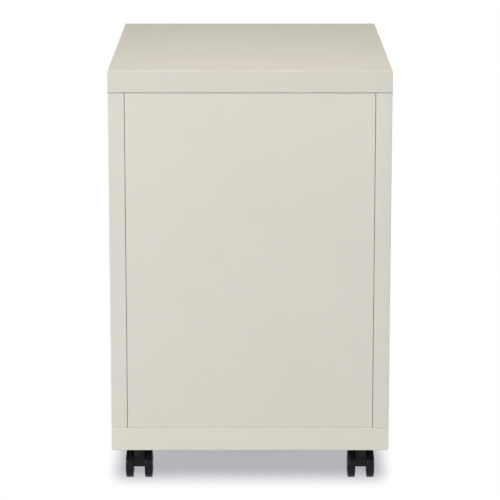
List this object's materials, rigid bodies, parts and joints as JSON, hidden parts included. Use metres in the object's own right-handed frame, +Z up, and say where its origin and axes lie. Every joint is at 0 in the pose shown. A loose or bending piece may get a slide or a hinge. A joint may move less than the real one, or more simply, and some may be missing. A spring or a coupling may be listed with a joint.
{
  "type": "mobile pedestal filing cabinet",
  "caption": "Steel mobile pedestal on swivel casters, with a box drawer over a file drawer, full-width pulls, ball-bearing slides and one lock for both.",
  "frame": {"origin": "on the floor, under the middle of the case", "axes": "+Z up, drawer fronts towards -Y, rear towards +Y, +X to the right of someone facing the drawers"},
  "size_m": [0.381, 0.5068, 0.578],
  "materials": {
    "putty_enamel": "putty textured powder coat",
    "inner_enamel": "putty powder coat, thinner inside",
    "zinc_steel": "bright zinc plated",
    "lock_chrome": "polished chrome plate",
    "cast_iron": "as cast, oiled",
    "black_nylon": "moulded, satin",
    "wheel_nylon": "moulded, semi-gloss",
    "bumper_rubber": "soft, matt"
  },
  "bodies": {
    "cabinet": {"top_cap": "putty_enamel", "left_side_panel": "putty_enamel", "right_side_panel": "putty_enamel", "back_panel": "putty_enamel", "base_pan": "putty_enamel", "front_left_upright": "zinc_steel", "front_right_upright": "zinc_steel", "rear_left_upright": "zinc_steel", "rear_right_upright": "zinc_steel", "front_cross_rail": "putty_enamel", "top_stiffener": "zinc_steel", "caster_gussets": "zinc_steel", "counterweight": "cast_iron", "box_slide_outers": "zinc_steel", "file_slide_outers": "zinc_steel", "slide_rivets": "zinc_steel", "drawer_bumpers": "bumper_rubber", "lock_housing": "lock_chrome", "lock_nut": "zinc_steel", "lock_bar_guides": "black_nylon", "caster_stems": "zinc_steel"},
    "lock_barrel": {"lock_barrel": "lock_chrome", "lock_cam": "zinc_steel"},
    "lock_bar": {"lock_bar": "zinc_steel"},
    "box_drawer": {"box_drawer_front": "putty_enamel", "box_drawer_pull": "putty_enamel", "box_drawer_inner_front": "inner_enamel", "box_drawer_shell": "inner_enamel", "box_drawer_back": "inner_enamel", "box_drawer_divider": "inner_enamel", "box_slide_inners": "zinc_steel", "box_drawer_rivets": "zinc_steel", "box_lock_catch": "zinc_steel"},
    "file_drawer": {"file_drawer_front": "putty_enamel", "file_drawer_pull": "putty_enamel", "file_drawer_inner_front": "inner_enamel", "file_drawer_shell": "inner_enamel", "file_drawer_back": "inner_enamel", "file_folder_rails": "black_nylon", "file_slide_inners": "zinc_steel", "file_drawer_rivets": "zinc_steel", "file_lock_catch": "zinc_steel"},
    "box_slide_middles": {"box_slide_middles": "zinc_steel"},
    "file_slide_middles": {"file_slide_middles": "zinc_steel"},
    "box_outer_cages": {"box_outer_cages": "zinc_steel"},
    "box_inner_cages": {"box_inner_cages": "zinc_steel"},
    "file_outer_cages": {"file_outer_cages": "zinc_steel"},
    "file_inner_cages": {"file_inner_cages": "zinc_steel"},
    "rear_left_caster": {"rear_left_caster_body": "black_nylon"},
    "rear_left_wheels": {"rear_left_caster_wheels": "wheel_nylon"},
    "rear_right_caster": {"rear_right_caster_body": "black_nylon"},
    "rear_right_wheels": {"rear_right_caster_wheels": "wheel_nylon"},
    "front_left_caster": {"front_left_caster_body": "black_nylon"},
    "front_left_wheels": {"front_left_caster_wheels": "wheel_nylon"},
    "front_left_brake": {"front_left_brake_lever": "black_nylon"},
    "front_right_caster": {"front_right_caster_body": "black_nylon"},
    "front_right_wheels": {"front_right_caster_wheels": "wheel_nylon"},
    "front_right_brake": {"front_right_brake_lever": "black_nylon"}
  },
  "joints": [
    {"name": "box_drawer_slide", "type": "slide", "parent": "cabinet", "child": "box_drawer", "axis": [0, -1, 0], "range_m": [0, 0.45]},
    {"name": "box_slide_middles_run", "type": "slide", "parent": "cabinet", "child": "box_slide_middles", "axis": [0, -1, 0], "range_m": [0, 0.225]},
    {"name": "box_outer_cages_run", "type": "slide", "parent": "cabinet", "child": "box_outer_cages", "axis": [0, -1, 0], "range_m": [0, 0.1125]},
    {"name": "box_inner_cages_run", "type": "slide", "parent": "cabinet", "child": "box_inner_cages", "axis": [0, -1, 0], "range_m": [0, 0.3375]},
    {"name": "file_drawer_slide", "type": "slide", "parent": "cabinet", "child": "file_drawer", "axis": [0, -1, 0], "range_m": [0, 0.45]},
    {"name": "file_slide_middles_run", "type": "slide", "parent": "cabinet", "child": "file_slide_middles", "axis": [0, -1, 0], "range_m": [0, 0.225]},
    {"name": "file_outer_cages_run", "type": "slide", "parent": "cabinet", "child": "file_outer_cages", "axis": [0, -1, 0], "range_m": [0, 0.1125]},
    {"name": "file_inner_cages_run", "type": "slide", "parent": "cabinet", "child": "file_inner_cages", "axis": [0, -1, 0], "range_m": [0, 0.3375]},
    {"name": "lock_turn", "type": "hinge", "parent": "cabinet", "child": "lock_barrel", "pos_m": [0.158, -0.2425, 0.563], "axis": [0, 1, 0], "range_deg": [0, 90]},
    {"name": "lock_bar_drop", "type": "slide", "parent": "cabinet", "child": "lock_bar", "axis": [0, 0, -1], "range_m": [0, 0.01203]},
    {"name": "rear_left_swivel", "type": "hinge", "parent": "cabinet", "child": "rear_left_caster", "pos_m": [-0.154, 0.2245, 0.045], "axis": [0, 0, 1], "continuous": true},
    {"name": "rear_left_roll", "type": "hinge", "parent": "rear_left_caster", "child": "rear_left_wheels", "pos_m": [-0.154, 0.2085, 0.02], "axis": [1, 0, 0], "continuous": true},
    {"name": "rear_right_swivel", "type": "hinge", "parent": "cabinet", "child": "rear_right_caster", "pos_m": [0.154, 0.2245, 0.045], "axis": [0, 0, 1], "continuous": true},
    {"name": "rear_right_roll", "type": "hinge", "parent": "rear_right_caster", "child": "rear_right_wheels", "pos_m": [0.154, 0.2085, 0.02], "axis": [1, 0, 0], "continuous": true},
    {"name": "front_left_swivel", "type": "hinge", "parent": "cabinet", "child": "front_left_caster", "pos_m": [-0.154, -0.2075, 0.045], "axis": [0, 0, 1], "continuous": true},
    {"name": "front_left_roll", "type": "hinge", "parent": "front_left_caster", "child": "front_left_wheels", "pos_m": [-0.154, -0.2235, 0.02], "axis": [1, 0, 0], "continuous": true},
    {"name": "front_left_brake_press", "type": "hinge", "parent": "front_left_caster", "child": "front_left_brake", "pos_m": [-0.154, -0.2275, 0.042], "axis": [1, 0, 0], "range_deg": [0, 15]},
    {"name": "front_right_swivel", "type": "hinge", "parent": "cabinet", "child": "front_right_caster", "pos_m": [0.154, -0.2075, 0.045], "axis": [0, 0, 1], "continuous": true},
    {"name": "front_right_roll", "type": "hinge", "parent": "front_right_caster", "child": "front_right_wheels", "pos_m": [0.154, -0.2235, 0.02], "axis": [1, 0, 0], "continuous": true},
    {"name": "front_right_brake_press", "type": "hinge", "parent": "front_right_caster", "child": "front_right_brake", "pos_m": [0.154, -0.2275, 0.042], "axis": [1, 0, 0], "range_deg": [0, 15]}
  ],
  "couplings": [
    {"joint": "box_slide_middles_run", "follows": "box_drawer_slide", "ratio": 0.5},
    {"joint": "box_outer_cages_run", "follows": "box_drawer_slide", "ratio": 0.25},
    {"joint": "box_inner_cages_run", "follows": "box_drawer_slide", "ratio": 0.75},
    {"joint": "file_slide_middles_run", "follows": "file_drawer_slide", "ratio": 0.5},
    {"joint": "file_outer_cages_run", "follows": "file_drawer_slide", "ratio": 0.25},
    {"joint": "file_inner_cages_run", "follows": "file_drawer_slide", "ratio": 0.75},
    {"joint": "lock_bar_drop", "follows": "lock_turn", "m_per_rad": 0.0076527}
  ]
}
